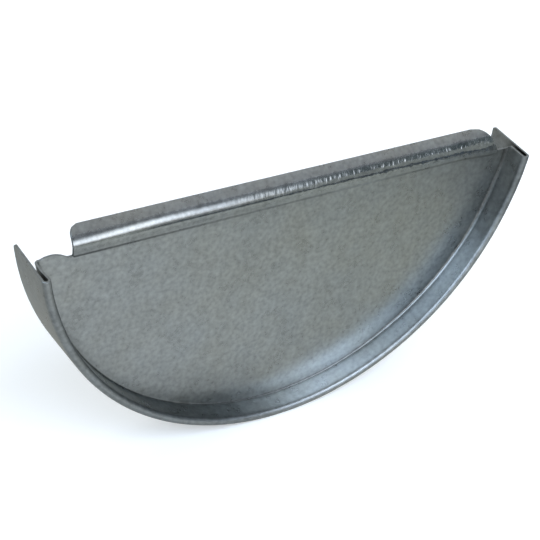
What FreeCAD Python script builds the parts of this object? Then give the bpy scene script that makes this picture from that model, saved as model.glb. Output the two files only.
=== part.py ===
import FreeCAD, Part
import math
import os

import Sketcher

# Half-round gutter end cap: one pressed and folded sheet of galvanised steel.
#
# Frame: the gutter's axis is Y, +Y is the way the gutter leaves, +Z is up and +X lies along
# the chord. The origin is on the gutter's axis, level with the bottom of the groove that
# takes the gutter's end. The outside face of the cap looks towards -Y.
#
# Section, from the middle outwards: flat recessed panel, inner wall coming forward, rounded
# rim, outer flange going back over the gutter. Inner wall, rim and flange make a U-shaped
# groove that is open to the back. The top edge of the panel ends in a bent-back lip, with a
# wide notch on the left for the gutter's front bead and a narrow one on the right.

doc = FreeCAD.newDocument("gutter_end_cap")

# ---------------------------------------------------------------- driving dimensions, mm
CELLS = [
    ("flange_radius", 64.0, "outside radius of the outer flange"),
    ("sheet", 0.6, "sheet thickness"),
    ("rim_width", 2.1, "outside width of the folded rim"),
    ("panel_depth", 6.2, "front of the rim to the panel's outside face"),
    ("flange_depth", 13.7, "front of the rim to the flange's free edge"),
    ("corner_radius", 0.5, "concave corner between panel and inner wall"),
    ("panel_top", 8.2, "panel's top edge below the gutter axis"),
    ("lip_root", 8.75, "start of the lip's joggle below the gutter axis"),
    ("lip_left", 54.0, "lip's left end from the axis"),
    ("lip_right", 58.8, "lip's right end from the axis"),
    ("joggle", 0.25, "lip strip stands forward of the panel"),
    ("joggle_height", 0.9, "height over which the joggle runs"),
    ("strip_top", 6.75, "top of the lip's upright strip below the axis"),
    ("lip_bend_radius", 5.0, "outside radius of the lip's bend"),
    ("lip_lean", 40.0, "lean of the lip's upper strip, degrees"),
    ("lip_flat", 2.05, "length of the lip's upper strip"),
    ("lip_corner_left", 1.9, "rounding of the lip's left corner"),
    ("lip_corner_right", 8.2, "rounding of the lip's right corner"),
    ("ear_left", 61.2, "outer end of the ear beside the left notch"),
    ("ear_right", 55.2, "inner end of the ear beside the left notch"),
    ("ear_start", 7.35, "outer end of the ear below the axis"),
    ("ear_radius", 5.7, "radius of the ear's rounded top"),
    ("left_front", 8.4, "left end of the rim below the axis"),
    ("left_back", 7.0, "left end of the flange below the axis"),
    ("right_front", 7.75, "right end of the rim below the axis"),
    ("right_back", 6.4, "right end of the flange below the axis"),
    ("tip_round", 0.7, "rounding of the flange's end corners"),
]

sheet = doc.addObject("Spreadsheet::Sheet", "Dims")
for row, (alias, number, note) in enumerate(CELLS, start=1):
    sheet.set("A%d" % row, str(number))
    sheet.setAlias("A%d" % row, alias)
    sheet.set("B%d" % row, note)
doc.recompute()


class Dim:
    """A length with its number and the expression that drives it."""

    def __init__(self, value, text):
        self.value = float(value)
        self.text = text

    @staticmethod
    def of(other):
        return other if isinstance(other, Dim) else Dim(other, "%.6g" % other)

    def __add__(self, other):
        other = Dim.of(other)
        return Dim(self.value + other.value, "(%s + %s)" % (self.text, other.text))

    def __sub__(self, other):
        other = Dim.of(other)
        return Dim(self.value - other.value, "(%s - %s)" % (self.text, other.text))

    def __mul__(self, other):
        other = Dim.of(other)
        return Dim(self.value * other.value, "(%s * %s)" % (self.text, other.text))

    def __truediv__(self, other):
        other = Dim.of(other)
        return Dim(self.value / other.value, "(%s / %s)" % (self.text, other.text))

    def __neg__(self):
        return Dim(-self.value, "(-%s)" % self.text)


def dim(alias):
    return Dim(sheet.get(alias), "Dims." + alias)


def cosd(angle):
    return Dim(math.cos(math.radians(angle.value)), "cos(%s)" % angle.text)


def sind(angle):
    return Dim(math.sin(math.radians(angle.value)), "sin(%s)" % angle.text)


def plane(body, role):
    for feature in body.Origin.OriginFeatures:
        if feature.Role == role:
            return feature
    raise RuntimeError("no plane " + role)


def draw_loop(sketch, points, arcs):
    """A closed, fully dimensioned outline.

    points: list of (Dim, Dim). arcs: {index of the segment: (radius Dim, bulge side)}, where
    the side is +1 if the arc's middle lies to the left of the way from start to end.
    """
    count = len(points)
    geometry = []
    for i in range(count):
        ax, ay = points[i][0].value, points[i][1].value
        bx, by = points[(i + 1) % count][0].value, points[(i + 1) % count][1].value
        a = FreeCAD.Vector(ax, ay, 0)
        b = FreeCAD.Vector(bx, by, 0)
        if i in arcs:
            radius, side = arcs[i]
            chord = b - a
            half = chord.Length / 2.0
            left = FreeCAD.Vector(-chord.y, chord.x, 0).normalize()
            rise = radius.value - math.sqrt(max(radius.value ** 2 - half ** 2, 0.0))
            middle = (a + b) * 0.5 + left * (side * rise)
            geometry.append(Part.Arc(a, middle, b))
        else:
            geometry.append(Part.LineSegment(a, b))
    ids = []
    ends = []
    for i, shape in enumerate(geometry):
        ids.append(sketch.addGeometry(shape, False))
        # an arc is kept counter-clockwise, so its first and last point may be swapped
        start = sketch.getPoint(ids[i], 1)
        wanted = points[i]
        same = math.hypot(start.x - wanted[0].value, start.y - wanted[1].value) < 1e-6
        ends.append((1, 2) if same else (2, 1))
    for i in range(count):
        j = (i + 1) % count
        sketch.addConstraint(Sketcher.Constraint("Coincident", ids[i], ends[i][1], ids[j], ends[j][0]))
    for i in range(count):
        for axis, kind in ((0, "DistanceX"), (1, "DistanceY")):
            where = points[i][axis]
            if abs(where.value) < 1e-9:
                line = -2 if axis == 0 else -1
                sketch.addConstraint(Sketcher.Constraint("PointOnObject", ids[i], ends[i][0], line))
                continue
            if where.value > 0:
                made = sketch.addConstraint(Sketcher.Constraint(kind, -1, 1, ids[i], ends[i][0], where.value))
                text = where.text
            else:
                made = sketch.addConstraint(Sketcher.Constraint(kind, ids[i], ends[i][0], -1, 1, -where.value))
                text = "-1 * " + where.text
            name = "%s%d" % ("x" if axis == 0 else "y", i)
            sketch.renameConstraint(made, name)
            sketch.setExpression("Constraints." + name, text)
    for i, (radius, side) in arcs.items():
        a, b = points[i], points[(i + 1) % count]
        if abs(math.hypot(b[0].value - a[0].value, b[1].value - a[1].value) - 2 * radius.value) < 1e-6:
            # a half circle over a level chord is set by the height of its centre
            made = sketch.addConstraint(Sketcher.Constraint("DistanceY", -1, 1, ids[i], 3, a[1].value))
            name = "centre%d" % i
            sketch.renameConstraint(made, name)
            sketch.setExpression("Constraints." + name, a[1].text)
            continue
        made = sketch.addConstraint(Sketcher.Constraint("Radius", ids[i], radius.value))
        name = "radius%d" % i
        sketch.renameConstraint(made, name)
        sketch.setExpression("Constraints." + name, radius.text)


def new_sketch(body, name, role, offset=None):
    sketch = body.newObject("Sketcher::SketchObject", name)
    sketch.AttachmentSupport = [(plane(body, role), "")]
    sketch.MapMode = "FlatFace"
    if offset is not None:
        sketch.AttachmentOffset = FreeCAD.Placement(
            FreeCAD.Vector(0, 0, offset.value), FreeCAD.Rotation())
        sketch.setExpression("AttachmentOffset.Base.z", offset.text)
    return sketch


R = dim("flange_radius")
T = dim("sheet")
W = dim("rim_width")
D1 = dim("panel_depth")
D2 = dim("flange_depth")
C = dim("corner_radius")
zero = Dim(0.0, "0")
one = Dim(1.0, "1")
far = Dim(16.0, "16")

body = doc.addObject("PartDesign::Body", "EndCap")
body.Label = "end_cap"

# ---------------------------------------------------------------- panel, wall, rim, flange
# The sheet's section in the plane of the gutter axis: radius along X, depth along Y.
section = new_sketch(body, "Section", "XY_Plane")
wall = R - W
half_rim = W / 2
draw_loop(
    section,
    [
        (zero, D1),                        # 0 panel's outside face, on the axis
        (wall - C, D1),                    # 1 panel runs into the corner
        (wall, D1 - C),                    # 2 inner wall starts
        (wall, half_rim),                  # 3 inner wall meets the rim
        (R, half_rim),                     # 4 rim meets the flange
        (R, D2),                           # 5 flange's free edge, outside
        (R - T, D2),                       # 6 flange's free edge, inside
        (R - T, half_rim),                 # 7 groove's outer side
        (wall + T, half_rim),              # 8 groove's inner side
        (wall + T, D1 - C),                # 9 back of the inner wall
        (wall - C, D1 + T),                # 10 back of the corner
        (zero, D1 + T),                    # 11 panel's back, on the axis
    ],
    {
        1: (C, -1),
        3: (half_rim, -1),
        7: (half_rim - T, 1),
        9: (C + T, 1),
    },
)
doc.recompute()

pressed = body.newObject("PartDesign::Revolution", "PressedHalf")
pressed.Profile = section
pressed.ReferenceAxis = (section, ["V_Axis"])
pressed.Angle = 180.0
pressed.Midplane = False
pressed.Reversed = False
doc.recompute()
if pressed.Shape.BoundBox.ZMax > 1.0:
    pressed.Reversed = True
    doc.recompute()

# ---------------------------------------------------------------- trimmed top of the panel
# Everything above the panel's top edge goes, with the rounded ear left beside the notch.
top = dim("panel_top")
root = dim("lip_root")
ear_l = dim("ear_left")
ear_r = dim("ear_right")
lip_l = dim("lip_left")
lip_r = dim("lip_right")
trim = new_sketch(body, "TopTrim", "XZ_Plane")
draw_loop(
    trim,
    [
        (-ear_l, one),
        (-ear_l, -dim("ear_start")),
        (-ear_r, -top),
        (-lip_l, -top),
        (-lip_l, -root),
        (lip_r, -root),
        (lip_r, -top),
        (ear_l, -top),
        (ear_l, one),
    ],
    {1: (dim("ear_radius"), 1)},
)
doc.recompute()
before = pressed.Shape.Volume
top_cut = body.newObject("PartDesign::Pocket", "TopCut")
top_cut.Profile = trim
top_cut.Type = "ThroughAll"
top_cut.Midplane = True
doc.recompute()
if not top_cut.Shape.Volume < before - 1.0:
    raise RuntimeError("the top trim cut nothing")

# ---------------------------------------------------------------- ends of rim and flange
# Both ends are sheared off a little askew, with the free corner of the flange rounded.


def end_trim(name, front, back, offset, outwards_positive):
    """Cut the rim, wall and flange above a line that runs from front to back."""
    tip = dim("tip_round")
    slope = (back - front) / D2
    sketch = new_sketch(body, name + "Line", "YZ_Plane", offset)
    turn = D2 - tip
    height = front + slope * turn
    draw_loop(
        sketch,
        [
            (-one, one),
            (-one, front - slope),
            (turn, height),
            (D2, height - tip),
            (far, height - tip),
            (far, one),
        ],
        {2: (tip, 1)},
    )
    doc.recompute()
    volume = body.Tip.Shape.Volume
    cut = body.newObject("PartDesign::Pocket", name)
    cut.Profile = sketch
    cut.Type = "ThroughAll"
    cut.Reversed = outwards_positive
    doc.recompute()
    lost = volume - cut.Shape.Volume
    if not 5.0 < lost < 400.0:
        cut.Reversed = not outwards_positive
        doc.recompute()
        lost = volume - cut.Shape.Volume
    if not 5.0 < lost < 400.0:
        raise RuntimeError("%s took %.2f cubic millimetres" % (name, lost))
    return cut


end_trim("LeftEnd", -dim("left_front"), -dim("left_back"), -ear_l, False)
end_trim("RightEnd", -dim("right_front"), -dim("right_back"), ear_l, True)

# ---------------------------------------------------------------- lip
# Section of the lip, seen along the chord: a small joggle forward, a short upright strip, a
# rounded bend and a flat strip that leans back over the gutter.
J = dim("joggle")
JH = dim("joggle_height")
B = dim("lip_bend_radius")
lean = dim("lip_lean")
strip = dim("strip_top")
flat = dim("lip_flat")
front = D1 - J
knee = root - JH
# the joggle is two equal arcs, one concave and one convex
step_r = (JH * JH + J * J) / (J * 4)
bend_y = front + B * (Dim(1.0, "1") - cosd(lean))
bend_z = B * sind(lean) - strip
inner_y = front + B - (B - T) * cosd(lean)
inner_z = (B - T) * sind(lean) - strip
lip_sketch = new_sketch(body, "LipSection", "YZ_Plane", -lip_l)
draw_loop(
    lip_sketch,
    [
        (D1, -root - 0.6),                                       # 0
        (D1, -root),                                             # 1 joggle starts
        (D1 - J / 2, -root + JH / 2),                            # 2 middle of the joggle
        (front, -knee),                                          # 3 strip starts
        (front, -strip),                                         # 4 bend starts
        (bend_y, bend_z),                                        # 5 bend ends
        (bend_y + flat * sind(lean), bend_z + flat * cosd(lean)),  # 6 free edge, outside
        (inner_y + flat * sind(lean), inner_z + flat * cosd(lean)),  # 7 free edge, inside
        (inner_y, inner_z),                                      # 8
        (front + T, -strip),                                     # 9
        (front + T, -knee),                                      # 10
        (D1 - J / 2 + T, -root + JH / 2),                        # 11
        (D1 + T, -root),                                         # 12
        (D1 + T, -root - 0.6),                                   # 13
    ],
    {
        1: (step_r, -1),
        2: (step_r, 1),
        4: (B, 1),
        8: (B - T, -1),
        10: (step_r, -1),
        11: (step_r, 1),
    },
)
doc.recompute()
volume = body.Tip.Shape.Volume
lip = body.newObject("PartDesign::Pad", "Lip")
lip.Profile = lip_sketch
lip.Type = "Length"
lip.setExpression("Length", "Dims.lip_left + Dims.lip_right")
lip.Reversed = False
doc.recompute()
if lip.Shape.BoundBox.XMin < -70 or not lip.Shape.Volume > volume + 100.0:
    lip.Reversed = True
    doc.recompute()

# Rounded ends of the lip: a small radius on the left, a wide quarter round on the right.
round_l = dim("lip_corner_left")
round_r = dim("lip_corner_right")
top_z = bend_z + flat * cosd(lean)
corners = new_sketch(body, "LipCorners", "XZ_Plane")
draw_loop(
    corners,
    [
        (-lip_l - 1.0, one),
        (-lip_l - 1.0, top_z - round_l),
        (-lip_l, top_z - round_l),
        (-lip_l + round_l, top_z),
        (-lip_l + round_l, one),
    ],
    {2: (round_l, 1)},
)
doc.recompute()
volume = body.Tip.Shape.Volume
left_round = body.newObject("PartDesign::Pocket", "LipLeftRound")
left_round.Profile = corners
left_round.Type = "ThroughAll"
left_round.Midplane = True
doc.recompute()
if not 0.05 < volume - left_round.Shape.Volume < 5.0:
    raise RuntimeError("the left rounding is wrong")

corners_r = new_sketch(body, "LipCornerRight", "XZ_Plane")
centre_x = lip_r - round_r
centre_z = top_z - round_r
# the quarter round stops where it meets the panel's top edge
drop = centre_z + top
reach = Dim(math.sqrt(round_r.value ** 2 - drop.value ** 2),
            "sqrt(%s * %s - %s * %s)" % (round_r.text, round_r.text, drop.text, drop.text))
draw_loop(
    corners_r,
    [
        (centre_x, one),
        (centre_x, top_z),
        (centre_x + reach, -top),
        (lip_r + 1.2, -top),
        (lip_r + 1.2, one),
    ],
    {1: (round_r, 1)},
)
doc.recompute()
volume = body.Tip.Shape.Volume
right_round = body.newObject("PartDesign::Pocket", "LipRightRound")
right_round.Profile = corners_r
right_round.Type = "ThroughAll"
right_round.Midplane = True
doc.recompute()
if not 1.0 < volume - right_round.Shape.Volume < 40.0:
    raise RuntimeError("the right rounding is wrong")

# ---------------------------------------------------------------- placed on the gutter's axis
body.Placement = FreeCAD.Placement(FreeCAD.Vector(0, -sheet.get("sheet"), 0), FreeCAD.Rotation())
body.setExpression("Placement.Base.y", "-1 * Dims.sheet")
doc.recompute()

# ---------------------------------------------------------------- checked and written
parts = [body]
for thing in doc.Objects:
    bad = [word for word in thing.State if word in ("Invalid", "Error")]
    if bad:
        raise RuntimeError("%s: %s" % (thing.Name, ", ".join(bad)))
for thing in parts:
    shape = thing.Shape
    if shape.isNull() or not shape.isValid() or len(shape.Solids) != 1:
        raise RuntimeError("%s has no single valid solid" % thing.Label)

os.makedirs("parts", exist_ok=True)
for thing in parts:
    thing.Shape.exportStep("parts/%s.step" % thing.Label)
    box = thing.Shape.BoundBox
    print("%s: volume %.1f mm3, x %.2f..%.2f, y %.2f..%.2f, z %.2f..%.2f" % (
        thing.Label, thing.Shape.Volume, box.XMin, box.XMax, box.YMin, box.YMax, box.ZMin, box.ZMax))
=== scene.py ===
import math

import bmesh
import bpy
import numpy as np
from mathutils import Matrix, Vector


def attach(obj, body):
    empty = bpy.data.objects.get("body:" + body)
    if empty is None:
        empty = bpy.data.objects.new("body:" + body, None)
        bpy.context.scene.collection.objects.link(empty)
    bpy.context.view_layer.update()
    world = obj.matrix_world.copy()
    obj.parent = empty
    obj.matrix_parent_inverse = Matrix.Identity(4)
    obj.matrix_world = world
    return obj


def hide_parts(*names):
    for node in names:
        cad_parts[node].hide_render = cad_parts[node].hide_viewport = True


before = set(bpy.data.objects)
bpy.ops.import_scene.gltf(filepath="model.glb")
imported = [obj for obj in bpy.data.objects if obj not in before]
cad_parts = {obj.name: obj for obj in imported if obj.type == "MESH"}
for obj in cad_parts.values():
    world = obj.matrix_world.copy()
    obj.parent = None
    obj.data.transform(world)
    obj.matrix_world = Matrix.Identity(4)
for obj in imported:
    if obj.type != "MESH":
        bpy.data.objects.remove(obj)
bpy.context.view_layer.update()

# ------------------------------------------------------------------ the sheet, in millimetres
# One pressed blank of galvanised sheet, built as one grid of lines that run from the left
# end to the right end: flange edge, flange, rim, inner wall, corner, panel, lip.
# y is measured from the front of the rim and z from the gutter's axis.
R = 64.0            # outside of the flange
T = 0.6             # sheet
W = 2.1             # rim, outside
D1 = 6.2            # panel behind the front of the rim
D2 = 13.7           # flange's free edge behind the front of the rim
WALL = R - W
TOP = -8.2          # panel's top edge
ROOT = -8.75        # foot of the lip
LIP_L, LIP_R = -54.0, 58.8
JOG, JOG_H = 0.25, 0.9
STRIP_TOP = -6.75
BEND = 5.0
LEAN = math.radians(40.0)
FLAT = 2.05
ROUND_L, ROUND_R = 1.9, 8.2
TIP = 0.7
LEFT_END = (-8.40, -7.0)      # height of the sheared end at the rim and at the flange's edge
RIGHT_END = (-7.75, -6.4)
EAR = ((-61.2, -7.35), (-55.2, TOP), 5.7)
COLS = 420          # columns along the length

v = np.linspace(0.0, 1.0, COLS + 1)


def smooth(a, b, x):
    t = np.clip((np.asarray(x, float) - a) / (b - a), 0.0, 1.0)
    return t * t * (3 - 2 * t)


def waves(x, seed, low, high, count):
    """A smooth random line: a sum of sines with wavelengths from low to high, about unit size."""
    r = np.random.default_rng(seed)
    out = np.zeros_like(np.asarray(x, float))
    size = 0.0
    for _ in range(count):
        length = math.exp(r.uniform(math.log(low), math.log(high)))
        out += length / high * np.sin(2 * math.pi * x / length + r.uniform(0, 6.283))
        size += (length / high) ** 2 / 2
    return out / math.sqrt(size)


CORNER = 0.45 + 0.33 * smooth(0.60, 0.76, v) + 0.12 * smooth(0.80, 0.96, v)      # concave corner, softer towards the right end
OUT, IN = 0.03, 0.05                            # the inner wall leans out to the rim and in to the corner
# along the bottom the panel's edge is dished: it rises a little towards the corner
DISH = (0.20 + 0.08 * smooth(0.68, 0.78, v)) * smooth(0.10, 0.28, v) * (1 - smooth(0.86, 0.97, v))
DISH_L = 6.5
FLARE = 0.2 * smooth(0.90, 1.0, v)              # the right end stands out a little
NIP = 0.5 * np.clip(1 - v / 0.05, 0, 1) ** 2    # the left end of the inner wall leans towards the flange


def end_height(y, ends):
    """Height at which rim and flange are sheared off, with the flange's corner rounded."""
    turn = D2 - TIP
    z = ends[0] + (ends[1] - ends[0]) / D2 * min(y, turn)
    past = max(y - turn, 0.0)
    return z - (TIP - math.sqrt(max(TIP * TIP - past * past, 0.0)))


def ear(x):
    """Top edge of the panel left of the lip: a small rounded ear beside the notch."""
    a, b, r = EAR
    half = math.hypot(b[0] - a[0], b[1] - a[1]) / 2
    away = math.sqrt(r * r - half * half)
    cx = (a[0] + b[0]) / 2 + (b[1] - a[1]) / (2 * half) * away
    cz = (a[1] + b[1]) / 2 - (b[0] - a[0]) / (2 * half) * away
    if x <= a[0]:
        return a[1]
    if x >= b[0]:
        return TOP
    return cz + math.sqrt(max(r * r - (x - cx) ** 2, 0.0))


# ------------------------------------------------------------------ lines of the grid
lines = []          # each: (points (n,3), normals (n,3)) of the outside face


def swept(rho, y, n_rho, n_y, z_left, z_right, nip=0.0):
    """A line that follows the half circle, from its left end to its right end."""
    rho = np.broadcast_to(np.asarray(rho, float), v.shape) + FLARE + NIP * nip
    y = np.broadcast_to(np.asarray(y, float), v.shape)
    tl = math.pi - math.asin(z_left / rho[0])
    tr = 2 * math.pi + math.asin(z_right / rho[-1])
    th = tl + (tr - tl) * v
    lines.append((np.c_[rho * np.cos(th), y, rho * np.sin(th)],
                  np.c_[n_rho * np.cos(th), np.full_like(th, n_y), n_rho * np.sin(th)]))


# flange, from its free edge to the rim
for y in np.concatenate([D2 - TIP * (1 - np.cos(np.linspace(0, math.pi / 2, 5))),
                         np.linspace(D2 - TIP, W / 2, 7)[1:]]):
    swept(R, y, 1.0, 0.0, end_height(y, LEFT_END), end_height(y, RIGHT_END))
FLANGE_LINES = len(lines)
# rim
for a in np.linspace(0, math.pi, 13)[1:]:
    y = W / 2 - W / 2 * math.sin(a)
    swept(R - W / 2 + W / 2 * math.cos(a) + OUT * float(smooth(math.pi / 2, math.pi, a)), y, math.cos(a), -math.sin(a),
          end_height(y, LEFT_END), end_height(y, RIGHT_END))
RIM_LINES = len(lines)
# inner wall
for t in np.linspace(0, 1, 8)[1:]:
    y = W / 2 + (D1 - CORNER - W / 2) * t
    swept(WALL + OUT - (OUT + IN) * float(smooth(0.0, 1.0, t)), y, -1.0, 0.0, end_height(y[0], LEFT_END) + 0.35 * float(smooth(0.3, 1.0, t)),
          end_height(y[-1], RIGHT_END), nip=float(smooth(0.0, 0.8, t)))
WALL_LINES = len(lines)
# corner: on the left its end runs up to the ear
for a in np.linspace(0, math.pi / 2, 8)[1:]:
    turned = a * (1 - np.arctan(2 * DISH / DISH_L) / (math.pi / 2))
    rho = WALL - IN - CORNER + CORNER * np.cos(turned)
    y = D1 - CORNER + CORNER * np.sin(turned)
    share = float(smooth(-0.2, 1.2, a))
    z = end_height(y[0], LEFT_END) + 0.35
    for _ in range(4):
        x = -math.sqrt((rho[0] + NIP[0]) ** 2 - z * z)
        z = (end_height(y[0], LEFT_END) + 0.35) * (1 - share) + ear(x) * share
    swept(rho, y, -math.cos(a), -math.sin(a), z,
          end_height(y[-1], RIGHT_END) * (1 - share) + TOP * share, nip=1.0)
CORNER_LINES = len(lines)
arc_p = lines[-1][0].copy()


# panel: from the corner's inner edge across to the foot of the lip
def drop(x):
    """Near the right end the lip's foot runs down towards the corner."""
    return -0.85 * smooth(46.0, 60.0, x)


def fall(d, reach):
    t = np.clip(1 - d / reach, 0, 1)
    return t * t


x_line = LIP_L + (LIP_R - 0.6 - LIP_L) * v
root_line = np.c_[x_line, np.full_like(v, D1), ROOT + drop(x_line)]
steps = np.linspace(0, 1, 27)[1:]
for w in steps:
    p = arc_p * (1 - w) + root_line * w
    left = np.array([arc_p[0, 0] + (LIP_L - arc_p[0, 0]) * w, D1, 0.0])
    left[2] = ear(left[0])
    right = np.array([arc_p[-1, 0] + (x_line[-1] - arc_p[-1, 0]) * w, D1, TOP])
    p = p + (left - p[0]) * fall(v, 0.06)[:, None] + (right - p[-1]) * fall(1 - v, 0.05)[:, None]
    lines.append((p, np.tile([0.0, -1.0, 0.0], (len(v), 1))))
PANEL_LINES = len(lines)

# lip: profile points (y, z, normal y, normal z), by length along the sheet
profile = []
rj = (JOG_H ** 2 + JOG ** 2) / (4 * JOG)
aj = 2 * math.atan2(JOG, JOG_H)
for a in np.linspace(0, aj, 5)[1:]:
    profile.append((D1 - rj * (1 - math.cos(a)), ROOT + rj * math.sin(a), -math.cos(a), -math.sin(a)))
for a in np.linspace(aj, 0, 5)[1:]:
    profile.append((D1 - JOG + rj * (1 - math.cos(a)), ROOT + JOG_H - rj * math.sin(a), -math.cos(a), -math.sin(a)))
for z in np.linspace(ROOT + JOG_H, STRIP_TOP, 4)[1:]:
    profile.append((D1 - JOG, z, -1.0, 0.0))
STRIP_LINES = PANEL_LINES + len(profile)
for a in np.linspace(0, LEAN, 17)[1:]:
    profile.append((D1 - JOG + BEND * (1 - math.cos(a)), STRIP_TOP + BEND * math.sin(a), -math.cos(a), math.sin(a)))
BEND_LINES = PANEL_LINES + len(profile)
by, bz = profile[-1][:2]
for s in np.linspace(0, FLAT, 5)[1:]:
    profile.append((by + s * math.sin(LEAN), bz + s * math.cos(LEAN), -math.cos(LEAN), math.sin(LEAN)))
lip_top = profile[-1][1]


def lip_ends(z):
    zl = max(z, TOP)
    left = LIP_L
    if zl > lip_top - ROUND_L:
        left += ROUND_L - math.sqrt(max(ROUND_L ** 2 - (zl - lip_top + ROUND_L) ** 2, 0.0))
    cx, cz = LIP_R - ROUND_R, lip_top - ROUND_R
    right = cx + math.sqrt(max(ROUND_R ** 2 - (zl - cz) ** 2, 0.0))
    return left, right


for y, z, ny, nz in profile:
    left, right = lip_ends(z)
    x = left + (right - left) * v
    p = np.c_[x, np.full_like(v, y), np.full_like(v, z)]
    p[:, 2] += drop(x) * (1 - smooth(-7.0, -2.6, z))
    if z < TOP:
        p[:, 2] += (TOP - z) * (fall(v, 0.004)) + (TOP - p[-1, 2]) * fall(1 - v, 0.02)
    lines.append((p, np.tile([0.0, ny, nz], (len(v), 1))))

P = np.array([l[0] for l in lines])     # (lines, columns, 3)
N = np.array([l[1] for l in lines])
N /= np.linalg.norm(N, axis=2, keepdims=True)
K, M = P.shape[:2]

# the dish
row = np.arange(K)
inward = np.clip(np.hypot(arc_p[None, :, 0], arc_p[None, :, 2]) - np.hypot(P[:, :, 0], P[:, :, 2]), 0, DISH_L)
risen = np.where((row < CORNER_LINES)[:, None], smooth(RIM_LINES - 1, WALL_LINES - 1, row)[:, None], (1 - inward / DISH_L) ** 2)
P[:, :, 1] -= risen * DISH[None, :] * ((row >= RIM_LINES) & (row < PANEL_LINES))[:, None]

# ------------------------------------------------------------------ pressing marks
# The lip's bend is crinkled on its right half, where the sheet was gathered by the press.
length = np.r_[0.0, np.cumsum(np.linalg.norm(np.diff(P[:, M // 2], axis=0), axis=1))]
along_lip = length - length[STRIP_LINES - 1]
on_bend = smooth(-0.5, 0.6, along_lip) * (1 - smooth(1.9, 3.3, along_lip)) * (row >= PANEL_LINES)
x_lip = P[STRIP_LINES, :, 0]
# The bend is tighter at its left end and slacker to the right.
turned = 0.10 * (1 - smooth(-54, -30, x_lip)) - 0.03 * smooth(-20, 10, x_lip)
curve_len = BEND * LEAN
on = np.clip(along_lip, 0, curve_len) * (row >= PANEL_LINES)
P -= ((curve_len / math.pi * (1 - np.cos(math.pi * on / curve_len)))[:, None] * turned[None, :])[:, :, None] * N
r = np.random.default_rng(11)
dent = np.zeros((K, M))
for _ in range(150):
    cx = -22 + 80 * r.beta(1.5, 1.1)
    cs = r.uniform(0.3, 2.3)
    wx = math.exp(r.uniform(math.log(0.35), math.log(1.3)))
    ws = r.uniform(0.35, 0.8)
    slant = r.uniform(-0.5, 0.5)
    deep = r.uniform(-0.018, 0.024) * wx
    ds = along_lip[:, None] - cs
    dent = dent + deep * np.exp(-((x_lip[None, :] - cx - slant * ds) / wx) ** 2 - (ds / ws) ** 2)
dent *= on_bend[:, None] * smooth(-26, 14, x_lip)[None, :]
dent += 0.10 * on_bend[:, None] * np.exp(-((x_lip[None, :] - 56.6) / 0.9) ** 2 - ((along_lip[:, None] - 1.3) / 0.8) ** 2)
P += dent[:, :, None] * N
# The wall and the rim came off the die a little uneven.
arc = (v * math.pi - math.pi / 2) * R
uneven = 0.010 * waves(arc, 21, 6.0, 18.0, 14) + 0.003 * waves(arc, 22, 2.0, 5.0, 14)
held = smooth(0.0, 0.03, v) * (1 - smooth(0.97, 1.0, v))
on_wall = np.where(row < RIM_LINES, smooth(FLANGE_LINES - 1, RIM_LINES - 4, row), 1 - smooth(WALL_LINES - 3, CORNER_LINES - 1, row))
P += (on_wall[:, None] * (uneven * held)[None, :])[:, :, None] * N
P[:, :, 0] = np.minimum(P[:, :, 0], math.sqrt(R * R - RIGHT_END[1] ** 2) - 0.03)
P[:, :, 1] = np.maximum(P[:, :, 1], 0.005)
P[:, :, 2] = np.clip(P[:, :, 2], -R + 0.01, lip_top)

# ------------------------------------------------------------------ closed mesh with thickness
E = 0.1     # broken edge


def unit(a):
    return a / np.maximum(np.linalg.norm(a, axis=-1, keepdims=True), 1e-12)


ring = ([(0, j) for j in range(M)] + [(k, M - 1) for k in range(1, K)]
        + [(K - 1, j) for j in range(M - 2, -1, -1)] + [(k, 0) for k in range(K - 2, 0, -1)])
out = np.zeros_like(P)
out[0] += unit(P[0] - P[1])
out[-1] += unit(P[-1] - P[-2])
out[:, 0] += unit(P[:, 0] - P[:, 1])
out[:, -1] += unit(P[:, -1] - P[:, -2])
out -= (out * N).sum(2, keepdims=True) * N
out = unit(out)

front = P.copy()
back = P - N * T
for k, j in set(ring):
    front[k, j] -= out[k, j] * E
    back[k, j] -= out[k, j] * E
edge_a = np.array([P[k, j] - N[k, j] * E for k, j in ring])
edge_b = np.array([P[k, j] - N[k, j] * (T - E) for k, j in ring])
V = np.vstack([front.reshape(-1, 3), back.reshape(-1, 3), edge_a, edge_b])
V[:, 1] -= T
V *= 0.001

idx = np.arange(K * M).reshape(K, M)
quads = np.stack([idx[:-1, :-1], idx[:-1, 1:], idx[1:, 1:], idx[1:, :-1]], -1).reshape(-1, 4)
L = len(ring)
rf = np.array([idx[k, j] for k, j in ring])
ra = 2 * K * M + np.arange(L)
faces = [quads, quads[:, ::-1] + K * M]
for one, two in ((rf, ra), (ra, ra + L), (ra + L, rf + K * M)):
    faces.append(np.stack([one, two, np.roll(two, -1), np.roll(one, -1)], -1))
F = np.vstack(faces)

mesh = bpy.data.meshes.new("end_cap_sheet")
mesh.from_pydata(V.tolist(), [], F.tolist())
mesh.update()
bm = bmesh.new()
bm.from_mesh(mesh)
bmesh.ops.recalc_face_normals(bm, faces=bm.faces)
bm.to_mesh(mesh)
bm.free()
for poly in mesh.polygons:
    poly.use_smooth = True
mesh.set_sharp_from_angle(angle=math.radians(32))
cap = bpy.data.objects.new("end_cap_sheet", mesh)
bpy.context.scene.collection.objects.link(cap)

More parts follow.
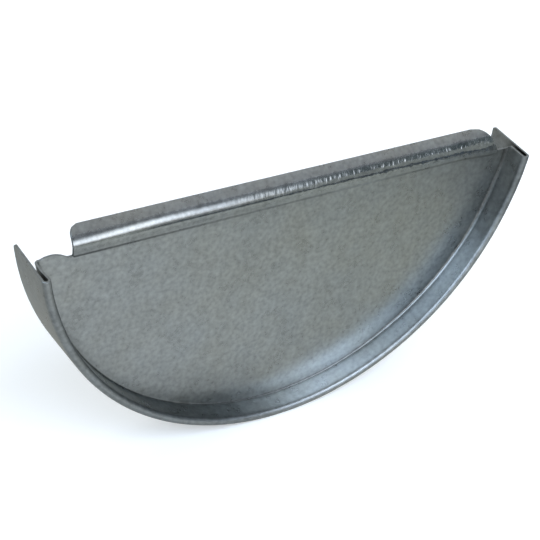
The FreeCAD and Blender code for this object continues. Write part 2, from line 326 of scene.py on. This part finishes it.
# where the sheet was sheared through, and painted shade: in the groove, along the lip's creases, in the corner and
# beside it, on the rim and at the ends
cut = np.zeros(len(V))
cut[2 * K * M:] = 1.0
painted_shade = np.zeros((2, K, M))
depth = P[:, :, 1]
# painted shade on the back of the sheet inside the groove, strongest by the rim and fading towards the flange's edge
inside = (row < CORNER_LINES)[:, None] * (1 - smooth(1.5, 9.0, depth))
painted_shade[1] = inside
# painted shade on the flange's inner face near the right end, darkest by the rim
painted_shade[1] += (row < FLANGE_LINES)[:, None] * (0.30 + 0.6 * (1 - smooth(4.0, 10.5, depth))) * smooth(0.93, 0.98, v)[None, :]
painted_shade[1] = np.minimum(painted_shade[1], 1.25)
# painted shade along the crease at the lip's foot, darker at the left and lighter around x = 18
crease = smooth(-2.3, -1.9, along_lip) * (1 - smooth(-1.4, -1.0, along_lip)) * (row >= PANEL_LINES - 6)
x_all = P[:, :, 0]
painted_shade[0] = crease[:, None] * (0.56 + 0.19 * (1 - smooth(-40, 0, x_all)) - 0.22 * np.exp(-((x_all - 18) / 9) ** 2))
# painted shade on the lip's upright strip, left half
upright = smooth(-1.2, -0.9, along_lip) * (1 - smooth(-0.3, 0.3, along_lip)) * (row >= PANEL_LINES)
painted_shade[0] += 0.33 * upright[:, None] * (1 - smooth(-14, 6, x_all))
# painted shade on the lip's upper flat
painted_shade[0] += 0.11 * (smooth(3.2, 3.8, along_lip) * (row >= PANEL_LINES))[:, None]
# painted shade in the corner between wall and panel, kept light at v 0.72 to 0.84 where the corner's bright line stays
nook = np.exp(-((row - (WALL_LINES + 3.0)) / 2.6) ** 2) * (row < CORNER_LINES + 1)
painted_shade[0] += nook[:, None] * np.interp(v, [0, 0.25, 0.4, 0.5, 0.65, 0.72, 0.78, 0.84, 0.9, 0.95, 1],
                                     [0.8, 1.1, 1.15, 1.25, 1.10, 0.6, 0.05, 0.2, 0.55, 0.9, 0.9])[None, :]
# painted shade on the inner wall near both ends
painted_shade[0] += (smooth(RIM_LINES, RIM_LINES + 3, row) * (row < CORNER_LINES))[:, None] * (0.4 * smooth(0.955, 0.99, v) + 0.35 * (1 - smooth(0.10, 0.22, v)))[None, :]
# a painted dark line along the foot of the wall beside the corner, on the right half
shade_line_by_corner = np.exp(-((row - (WALL_LINES - 1.2)) / 0.9) ** 2)
painted_shade[0] += 0.55 * shade_line_by_corner[:, None] * (smooth(0.56, 0.70, v) * (1 - smooth(0.93, 0.98, v)))[None, :]
# painted shade on the rim's inner side, left half of the arc
brow = np.exp(-((row - (RIM_LINES - 3.0)) / 2.6) ** 2)
painted_shade[0] += 0.85 * brow[:, None] * (1 - smooth(0.41, 0.51, v))[None, :]
# painted shade on the outer rim by the flange, towards the left end
painted_shade[0] += (0.16 * smooth(FLANGE_LINES - 1, FLANGE_LINES + 2, row) * (row < RIM_LINES - 5))[:, None] * (1 - smooth(0.20, 0.30, v))[None, :]
# painted shade on the rim near the right end
painted_shade[0] += (0.40 * smooth(FLANGE_LINES - 1, FLANGE_LINES + 2, row) * (row < RIM_LINES))[:, None] * smooth(0.88, 0.94, v)[None, :]
# painted shade over the lip's left end
painted_shade[0] += 0.14 * (row >= PANEL_LINES)[:, None] * (1 - smooth(-56, -40, x_all))
# painted shade on the rim from the bottom of the arc to its lower right, dimming its highlight
painted_shade[0] += (0.22 * smooth(FLANGE_LINES - 1, FLANGE_LINES + 2, row) * (row < RIM_LINES))[:, None] * (smooth(0.40, 0.48, v) * (1 - smooth(0.70, 0.78, v)))[None, :]
painted_shade[0] = np.minimum(painted_shade[0], 1.25)
painted_shade = np.r_[painted_shade.reshape(-1), np.zeros(2 * L)]
# the press has burnished the lip's bend
sleek = np.zeros((2, K, M))
sleek[0] = (smooth(-0.6, 0.3, along_lip) * (1 - smooth(2.6, 3.8, along_lip)) * (row >= PANEL_LINES))[:, None]
sleek[0] -= (smooth(FLANGE_LINES, FLANGE_LINES + 3, row) * (1 - smooth(RIM_LINES - 4, RIM_LINES, row)))[:, None]   # the rim is rubbed dull
sleek = np.r_[sleek.reshape(-1), np.zeros(2 * L)]
# and its right half is finely crinkled
crimp = np.zeros((2, K, M))
crimp[0] = (smooth(-0.2, 0.5, along_lip) * (1 - smooth(2.3, 3.4, along_lip)) * (row >= PANEL_LINES))[:, None] * (smooth(-24, 12, x_lip) * (1 + 0.9 * smooth(18, 48, x_lip)))[None, :]
crimp = np.r_[crimp.reshape(-1), np.zeros(2 * L)]
for name, values in (("cut", cut), ("painted_shade", painted_shade), ("sleek", sleek), ("crimp", crimp)):
    layer = mesh.attributes.new(name=name, type="FLOAT", domain="POINT")
    layer.data.foreach_set("value", values.astype(np.float32))

# ------------------------------------------------------------------ galvanised sheet
# Hot-dip zinc: a fine grain of about a millimetre, soft patches of a few millimetres and wide
# clouds that lean to olive or to blue, duller where the sheet was sheared, sleeker on the bend.
mat = bpy.data.materials.new("galvanised_sheet")
mat.use_nodes = True
nt = mat.node_tree
bsdf = nt.nodes["Principled BSDF"]
bsdf.inputs["Metallic"].default_value = 1.0
where = nt.nodes.new("ShaderNodeTexCoord").outputs["Object"]


def feed(socket, value):
    if isinstance(value, (int, float)):
        socket.default_value = value
    elif isinstance(value, tuple):
        socket.default_value = value
    else:
        nt.links.new(value, socket)


def calc(op, *args):
    made = nt.nodes.new("ShaderNodeMath")
    made.operation = op
    for i, arg in enumerate(args):
        feed(made.inputs[i], arg)
    return made.outputs[0]


def grain(scale, detail, seed, rough=0.5, stretch=None):
    """Noise with about zero mean, seeded by its fourth coordinate."""
    made = nt.nodes.new("ShaderNodeTexNoise")
    made.noise_dimensions = "4D"
    made.inputs["W"].default_value = seed
    made.inputs["Scale"].default_value = scale
    made.inputs["Detail"].default_value = detail
    made.inputs["Roughness"].default_value = rough
    source = where
    if stretch:
        squeeze = nt.nodes.new("ShaderNodeVectorMath")
        squeeze.operation = "MULTIPLY"
        nt.links.new(where, squeeze.inputs[0])
        squeeze.inputs[1].default_value = stretch
        source = squeeze.outputs[0]
    nt.links.new(source, made.inputs["Vector"])
    return calc("SUBTRACT", made.outputs["Fac"], 0.5)


def painted(name):
    made = nt.nodes.new("ShaderNodeAttribute")
    made.attribute_name = name
    return made.outputs["Fac"]


def mix(fac, one, two):
    made = nt.nodes.new("ShaderNodeMix")
    made.data_type = "RGBA"
    feed(made.inputs["Factor"], fac)
    feed(made.inputs[6], one)
    feed(made.inputs[7], two)
    return made.outputs[2]


def total_of(*terms):
    out = terms[0]
    for t in terms[1:]:
        out = calc("ADD", out, t)
    return out


fine = grain(930.0, 2.0, 1.3)
patch = grain(260.0, 2.0, 4.1)
cloud = grain(55.0, 2.0, 7.7)
tint = grain(75.0, 3.0, 11.2, 0.6)
cut_edge, painted_shade_in, sleeked, crimped = painted("cut"), painted("painted_shade"), painted("sleek"), painted("crimp")
pleat = grain(1150.0, 1.5, 3.6, 0.5, (1.0, 0.30, 0.30))

# colour: olive to bluish grey by the clouds, lighter and darker by the grain
hue = calc("ADD", calc("MULTIPLY", tint, 2.2), 0.5)
zinc = mix(hue, (0.333, 0.340, 0.325, 1), (0.327, 0.345, 0.353, 1))
shade = total_of(calc("MULTIPLY", fine, 0.82), calc("MULTIPLY", patch, 0.38), calc("MULTIPLY", cloud, 0.18))
shade = calc("MAXIMUM", calc("ADD", shade, 1.0), 0.80)
# painted shade: the base colour is darker in the groove, the corner, the lip's creases, on the rim and at the ends
shade = calc("MULTIPLY", shade, calc("SUBTRACT", 1.0, calc("MULTIPLY", painted_shade_in, 0.60)))
shade = calc("MULTIPLY", shade, calc("SUBTRACT", 1.0, calc("MULTIPLY", cut_edge, 0.30)))
lit = nt.nodes.new("ShaderNodeVectorMath")
lit.operation = "SCALE"
nt.links.new(zinc, lit.inputs[0])
nt.links.new(shade, lit.inputs["Scale"])
nt.links.new(lit.outputs[0], bsdf.inputs["Base Color"])

# gloss
gloss = total_of(calc("MULTIPLY", patch, 0.16), calc("MULTIPLY", fine, 0.10), calc("MULTIPLY", cut_edge, 0.16))
gloss = calc("ADD", gloss, calc("SUBTRACT", 0.30, calc("MULTIPLY", sleeked, 0.15)))
nt.links.new(gloss, bsdf.inputs["Roughness"])

# skin of the zinc
skin = nt.nodes.new("ShaderNodeBump")
skin.inputs["Strength"].default_value = 1.0
skin.inputs["Distance"].default_value = 4e-5
nt.links.new(total_of(calc("MULTIPLY", fine, 0.10), calc("MULTIPLY", patch, 0.62), calc("MULTIPLY", calc("MULTIPLY", pleat, crimped), 1.7)), skin.inputs["Height"])
nt.links.new(skin.outputs["Normal"], bsdf.inputs["Normal"])
cap.data.materials.append(mat)

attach(cap, "root")
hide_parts("end_cap")

# ------------------------------------------------------------------ stage
floor_mesh = bpy.data.meshes.new("floor")
s = 20.0
z = -0.0640
floor_mesh.from_pydata([(-s, -s, z), (s, -s, z), (s, s, z), (-s, s, z)], [], [(0, 1, 2, 3)])
floor = bpy.data.objects.new("floor", floor_mesh)
bpy.context.scene.collection.objects.link(floor)
fm = bpy.data.materials.new("pale_floor")
fm.use_nodes = True
fm.node_tree.nodes["Principled BSDF"].inputs["Base Color"].default_value = (0.80, 0.79, 0.77, 1)
fm.node_tree.nodes["Principled BSDF"].inputs["Emission Color"].default_value = (1.0, 0.98, 0.94, 1)
fm.node_tree.nodes["Principled BSDF"].inputs["Emission Strength"].default_value = 0.30
fm.node_tree.nodes["Principled BSDF"].inputs["Roughness"].default_value = 0.9
fm.node_tree.nodes["Principled BSDF"].inputs["Specular IOR Level"].default_value = 0.0
floor.data.materials.append(fm)

# a sheet on the floor that glows and that only the metal mirrors: painted light standing in for the lit floor, lighter
# to the left and darker to the right, with painted shadow behind the object, a painted contact shadow by its foot and
# painted darkness on its right
floor_glow_mesh = bpy.data.meshes.new("glowing_floor_sheet")
z = -0.0639
floor_glow_mesh.from_pydata([(-s, -s, z), (s, -s, z), (s, s, z), (-s, s, z)], [], [(0, 1, 2, 3)])
floor_glow = bpy.data.objects.new("glowing_floor_sheet", floor_glow_mesh)
bpy.context.scene.collection.objects.link(floor_glow)
pm = bpy.data.materials.new("glowing_floor_sheet")
pm.use_nodes = True
pb = pm.node_tree.nodes["Principled BSDF"]
pt = pm.node_tree
place_x = pt.nodes.new("ShaderNodeSeparateXYZ")
pt.links.new(pt.nodes.new("ShaderNodeTexCoord").outputs["Object"], place_x.inputs[0])
# the glow's tone: lighter and bluish on the left, darker and olive to the right
fade = pt.nodes.new("ShaderNodeMapRange")
fade.interpolation_type = "SMOOTHSTEP"
fade.inputs["From Min"].default_value = -0.05
fade.inputs["From Max"].default_value = 0.10
pt.links.new(place_x.outputs[0], fade.inputs["Value"])
greys = pt.nodes.new("ShaderNodeMix")
greys.data_type = "RGBA"
greys.inputs[6].default_value = (0.567, 0.594, 0.588, 1)
greys.inputs[7].default_value = (0.39, 0.41, 0.345, 1)
pt.links.new(fade.outputs[0], greys.inputs["Factor"])


def ramp(value, a, b, to_a, to_b):
    made = pt.nodes.new("ShaderNodeMapRange")
    made.interpolation_type = "SMOOTHSTEP"
    for name, val in (("From Min", a), ("From Max", b), ("To Min", to_a), ("To Max", to_b)):
        made.inputs[name].default_value = val
    pt.links.new(value, made.inputs["Value"])
    return made.outputs[0]


# painted shadow on the glow just behind the object; farther back the glow is lighter again
rear = pt.nodes.new("ShaderNodeMix")
rear.data_type = "RGBA"
pt.links.new(ramp(place_x.outputs[1], -0.018, 0.035, 0.0, 1.0), rear.inputs["Factor"])
pt.links.new(greys.outputs[2], rear.inputs[6])
rear.inputs[7].default_value = (0.26, 0.255, 0.21, 1)
behind = pt.nodes.new("ShaderNodeMix")
behind.data_type = "RGBA"
pt.links.new(ramp(place_x.outputs[1], 0.085, 0.19, 0.0, 1.0), behind.inputs["Factor"])
pt.links.new(rear.outputs[2], behind.inputs[6])
behind.inputs[7].default_value = (0.50, 0.51, 0.49, 1)
pt.links.new(behind.outputs[2], pb.inputs["Emission Color"])
# painted darkness on the glow to the right of the object
gloom = pt.nodes.new("ShaderNodeMath")
gloom.operation = "MULTIPLY"
fading = pt.nodes.new("ShaderNodeMath")
fading.operation = "MULTIPLY"
pt.links.new(ramp(place_x.outputs[0], 0.088, 0.128, 0.0, 0.82), fading.inputs[0])
pt.links.new(ramp(place_x.outputs[0], 0.16, 0.24, 1.0, 0.0), fading.inputs[1])
pt.links.new(fading.outputs[0], gloom.inputs[0])
pt.links.new(ramp(place_x.outputs[1], -0.085, -0.055, 0.0, 1.0), gloom.inputs[1])
left_over = pt.nodes.new("ShaderNodeMath")
left_over.operation = "SUBTRACT"
# the glow is weaker far to the left and far out to the front right
far = pt.nodes.new("ShaderNodeMath")
far.operation = "MULTIPLY"
pt.links.new(ramp(place_x.outputs[0], 0.10, 0.17, 0.0, 1.0), far.inputs[0])
pt.links.new(ramp(place_x.outputs[1], -0.16, -0.10, 0.5, 0.0), far.inputs[1])
near = pt.nodes.new("ShaderNodeMath")
near.operation = "SUBTRACT"
pt.links.new(ramp(place_x.outputs[0], -0.120, -0.055, 0.66, 1.0), near.inputs[0])
pt.links.new(far.outputs[0], near.inputs[1])
# painted contact shadow: darker close to the object on its left
under = pt.nodes.new("ShaderNodeMath")
under.operation = "MULTIPLY"
pt.links.new(ramp(place_x.outputs[0], -0.037, -0.021, 0.38, 0.0), under.inputs[0])
strip_y = pt.nodes.new("ShaderNodeMath")
strip_y.operation = "MULTIPLY"
pt.links.new(ramp(place_x.outputs[1], -0.045, -0.020, 0.0, 1.0), strip_y.inputs[0])
pt.links.new(ramp(place_x.outputs[1], -0.004, 0.010, 1.0, 0.0), strip_y.inputs[1])
pt.links.new(strip_y.outputs[0], under.inputs[1])
lessened = pt.nodes.new("ShaderNodeMath")
lessened.operation = "SUBTRACT"
pt.links.new(near.outputs[0], lessened.inputs[0])
pt.links.new(under.outputs[0], lessened.inputs[1])
pt.links.new(lessened.outputs[0], left_over.inputs[0])
pt.links.new(gloom.outputs[0], left_over.inputs[1])
# painted contact shadow: an oval of weaker glow under the object's foot
spot = pt.nodes.new("ShaderNodeVectorMath")
spot.operation = "MULTIPLY_ADD"
pt.links.new(pt.nodes["Texture Coordinate"].outputs["Object"], spot.inputs[0])
spot.inputs[1].default_value = (1 / 0.028, 1 / 0.012, 0.0)
spot.inputs[2].default_value = (0.024 / 0.028, 0.003 / 0.012, 0.0)
reach = pt.nodes.new("ShaderNodeVectorMath")
reach.operation = "LENGTH"
pt.links.new(spot.outputs[0], reach.inputs[0])
shaded = pt.nodes.new("ShaderNodeMath")
shaded.operation = "MULTIPLY"
pt.links.new(ramp(reach.outputs["Value"], 0.25, 1.25, 0.5, 1.0), shaded.inputs[0])
pt.links.new(left_over.outputs[0], shaded.inputs[1])
pt.links.new(shaded.outputs[0], pb.inputs["Emission Strength"])
pb.inputs["Base Color"].default_value = (0.2, 0.2, 0.2, 1)
pm.node_tree.nodes["Principled BSDF"].inputs["Roughness"].default_value = 0.9
pm.node_tree.nodes["Principled BSDF"].inputs["Specular IOR Level"].default_value = 0.0
floor_glow.data.materials.append(pm)
floor_glow.visible_camera = False
floor_glow.visible_diffuse = False
floor_glow.visible_shadow = False


# two low cards that stand on the floor and are only mirrored by the metal: a dark one in front and to the right, and
# behind it a white one that glows, brighter towards its top, and so carries the front light down to the floor
def stand_card(name, radius, start, stop, top):
    t = np.radians(np.linspace(start, stop, 41))
    verts = [(radius * math.sin(a), -radius * math.cos(a), h) for h in (-0.064, top) for a in t]
    made = bpy.data.meshes.new(name)
    made.from_pydata(verts, [], [(i, i + 1, i + 42, i + 41) for i in range(40)])
    obj = bpy.data.objects.new(name, made)
    bpy.context.scene.collection.objects.link(obj)
    m = bpy.data.materials.new(name)
    m.use_nodes = True
    obj.data.materials.append(m)
    obj.visible_camera = False
    obj.visible_diffuse = False
    obj.visible_shadow = False
    return m.node_tree.nodes["Principled BSDF"]


dark = stand_card("dark_card", 0.140, 12, 100, -0.041)
dark.inputs["Base Color"].default_value = (0.10, 0.115, 0.135, 1)
dark.inputs["Roughness"].default_value = 1.0
white = stand_card("white_card", 0.30, -20, 30, -0.007)
white.inputs["Base Color"].default_value = (0.3, 0.3, 0.3, 1)
white.inputs["Emission Color"].default_value = (0.98, 1.0, 1.04, 1)
ct = bpy.data.materials["white_card"].node_tree
height = ct.nodes.new("ShaderNodeSeparateXYZ")
ct.links.new(ct.nodes.new("ShaderNodeTexCoord").outputs["Object"], height.inputs[0])
rise = ct.nodes.new("ShaderNodeMapRange")
rise.interpolation_type = "SMOOTHSTEP"
rise.inputs["From Min"].default_value = -0.060
rise.inputs["From Max"].default_value = 0.020
rise.inputs["To Max"].default_value = 2.3
ct.links.new(height.outputs[2], rise.inputs["Value"])
ct.links.new(rise.outputs[0], white.inputs["Emission Strength"])

# a grey card held up in front, which the lip mirrors: it glows, grey above and dark bluish grey along its bottom
flag_mesh = bpy.data.meshes.new("grey_card")
flag_mesh.from_pydata([(-0.07, -0.020, 0.0095), (0.12, -0.020, 0.0095), (0.12, -0.020, 0.06), (-0.07, -0.020, 0.06)], [], [(0, 1, 2, 3)])
flag = bpy.data.objects.new("grey_card", flag_mesh)
bpy.context.scene.collection.objects.link(flag)
flag_mat = bpy.data.materials.new("grey_card")
flag_mat.use_nodes = True
gt = flag_mat.node_tree
grey = gt.nodes["Principled BSDF"]
grey.inputs["Base Color"].default_value = (0, 0, 0, 1)
grey.inputs["Specular IOR Level"].default_value = 0.0
grey_tint = gt.nodes.new("ShaderNodeMix")
grey_tint.data_type = "RGBA"
grey_tint.inputs[6].default_value = (0.22, 0.235, 0.265, 1)
grey_tint.inputs[7].default_value = (0.68, 0.68, 0.66, 1)
height = gt.nodes.new("ShaderNodeSeparateXYZ")
gt.links.new(gt.nodes.new("ShaderNodeTexCoord").outputs["Object"], height.inputs[0])
rise = gt.nodes.new("ShaderNodeMapRange")
rise.interpolation_type = "SMOOTHSTEP"
rise.inputs["From Min"].default_value = 0.015
rise.inputs["From Max"].default_value = 0.027
gt.links.new(height.outputs[2], rise.inputs["Value"])
gt.links.new(rise.outputs[0], grey_tint.inputs["Factor"])
gt.links.new(grey_tint.outputs[2], grey.inputs["Emission Color"])
grey.inputs["Emission Strength"].default_value = 1.0
flag.data.materials.append(flag_mat)
flag.visible_camera = False
flag.visible_diffuse = False
flag.visible_shadow = False

# a pale wall far off, all round, which only the camera sees
t = np.radians(np.arange(0, 360, 5))
wall_mesh = bpy.data.meshes.new("backdrop")
wall_mesh.from_pydata([(6 * math.cos(a), 6 * math.sin(a), h) for h in (-0.064, 5.0) for a in t], [],
                      [(i, (i + 1) % 72, 72 + (i + 1) % 72, 72 + i) for i in range(72)])
backdrop = bpy.data.objects.new("backdrop", wall_mesh)
bpy.context.scene.collection.objects.link(backdrop)
bm_wall = bpy.data.materials.new("backdrop")
bm_wall.use_nodes = True
shine = bm_wall.node_tree.nodes["Principled BSDF"]
shine.inputs["Base Color"].default_value = (0, 0, 0, 1)
shine.inputs["Specular IOR Level"].default_value = 0.0
shine.inputs["Emission Color"].default_value = (1.0, 1.0, 1.0, 1)
shine.inputs["Emission Strength"].default_value = 1.0
backdrop.data.materials.append(bm_wall)
backdrop.visible_diffuse = False
backdrop.visible_glossy = False
backdrop.visible_shadow = False

# ------------------------------------------------------------------ studio light
# A room of soft light, by direction: azimuth from the front (-Y) towards +X, and elevation.
world = bpy.data.worlds.new("studio")
bpy.context.scene.world = world
world.use_nodes = True
wt = world.node_tree
background = wt.nodes["Background"]


def wmath(op, *args):
    node = wt.nodes.new("ShaderNodeMath")
    node.operation = op
    for i, arg in enumerate(args):
        if isinstance(arg, (int, float)):
            node.inputs[i].default_value = arg
        else:
            wt.links.new(arg, node.inputs[i])
    return node.outputs[0]


def wstep(x, a, b):
    """0 below a, 1 above b, smooth between (the other way round where a is above b)."""
    node = wt.nodes.new("ShaderNodeMapRange")
    node.interpolation_type = "SMOOTHSTEP"
    node.clamp = True
    lo, hi, t0, t1 = (a, b, 0.0, 1.0) if a < b else (b, a, 1.0, 0.0)
    for name, val in (("From Min", lo), ("From Max", hi), ("To Min", t0), ("To Max", t1)):
        node.inputs[name].default_value = val
    wt.links.new(x, node.inputs["Value"])
    return node.outputs[0]


def wband(x, a, b, soft):
    return wmath("MULTIPLY", wstep(x, a - soft, a + soft), wstep(x, b + soft, b - soft))


coord = wt.nodes.new("ShaderNodeTexCoord")
split = wt.nodes.new("ShaderNodeSeparateXYZ")
wt.links.new(coord.outputs["Generated"], split.inputs[0])
dx, dy, dz = split.outputs
azim = wmath("MULTIPLY", wmath("ARCTAN2", dx, wmath("MULTIPLY", dy, -1.0)), 180 / math.pi)
elev = wmath("MULTIPLY", wmath("ARCSINE", dz), 180 / math.pi)
turn = wmath("ABSOLUTE", azim)

total = None


def glow(strength, colour, *masks):
    """Adds a patch of light, the product of its masks."""
    global total
    m = masks[0]
    for other in masks[1:]:
        m = wmath("MULTIPLY", m, other)
    node = wt.nodes.new("ShaderNodeVectorMath")
    node.operation = "SCALE"
    node.inputs[0].default_value = [c * strength for c in colour]
    wt.links.new(m, node.inputs["Scale"])
    if total is None:
        total = node.outputs[0]
        return
    add = wt.nodes.new("ShaderNodeVectorMath")
    add.operation = "ADD"
    wt.links.new(total, add.inputs[0])
    wt.links.new(node.outputs[0], add.inputs[1])
    total = add.outputs[0]


glow(0.18, (0.80, 1.0, 1.10), wstep(elev, -400, -300))                              # room
glow(0.50, (0.98, 1.0, 1.02), wstep(elev, 60, 80))                                  # ceiling
glow(3.05, (0.95, 1.0, 1.10), wband(azim, -6, 29, 5), wband(elev, -3, 19, 9))       # low window in front
glow(0.90, (0.90, 0.98, 1.10), wband(azim, -66, -48, 7), wband(elev, 2, 14, 8))     # its left wing
glow(5.0, (0.85, 0.98, 1.17), wband(azim, -3, 41, 9), wband(elev, 31, 62, 6))        # key, in front
glow(2.2, (0.85, 0.98, 1.17), wband(azim, -10, 36, 8), wband(elev, 52, 64, 4))      # its upper half
glow(3.8, (0.82, 0.98, 1.20), wband(azim, -48, 0, 8), wband(elev, 37, 60, 5))       # left of the key
glow(4.2, (0.80, 0.98, 1.22), wband(azim, -82, -43, 8), wband(elev, 21, 44, 5))     # fill from the left
glow(0.30, (0.98, 1.0, 1.02), wband(azim, 88, 122, 12), wband(elev, -4, 50, 12))    # from the right
glow(0.60, (1.0, 1.0, 1.0), wstep(turn, 105, 130), wstep(elev, -10, 0))             # behind
wt.links.new(total, background.inputs["Color"])
background.inputs["Strength"].default_value = 1.0

# ------------------------------------------------------------------ camera
cam_data = bpy.data.cameras.new("camera")
cam_data.sensor_width = 36.0
cam_data.lens = 36.0 * 1445.8 / 540.0
cam_data.clip_start = 0.01
cam = bpy.data.objects.new("camera", cam_data)
bpy.context.scene.collection.objects.link(cam)
az, el, roll = (math.radians(x) for x in (-36.20, 33.32, 6.49))
back_dir = Vector((math.sin(az) * math.cos(el), -math.cos(az) * math.cos(el), math.sin(el)))
target = Vector((-0.00464, 0.0054, -0.02529))
right = (-back_dir).cross(Vector((0, 0, 1))).normalized()
up = right.cross(-back_dir)
r2 = right * math.cos(roll) + up * math.sin(roll)
u2 = up * math.cos(roll) - right * math.sin(roll)
rot = Matrix((r2, u2, back_dir)).transposed().to_4x4()
half_pixel = 0.5 * 0.3251 / 1445.8
place = target + back_dir * 0.3251 - r2 * half_pixel + u2 * half_pixel
cam.matrix_world = Matrix.Translation(place) @ rot
bpy.context.scene.camera = cam
bpy.context.scene.view_settings.view_transform = "Standard"
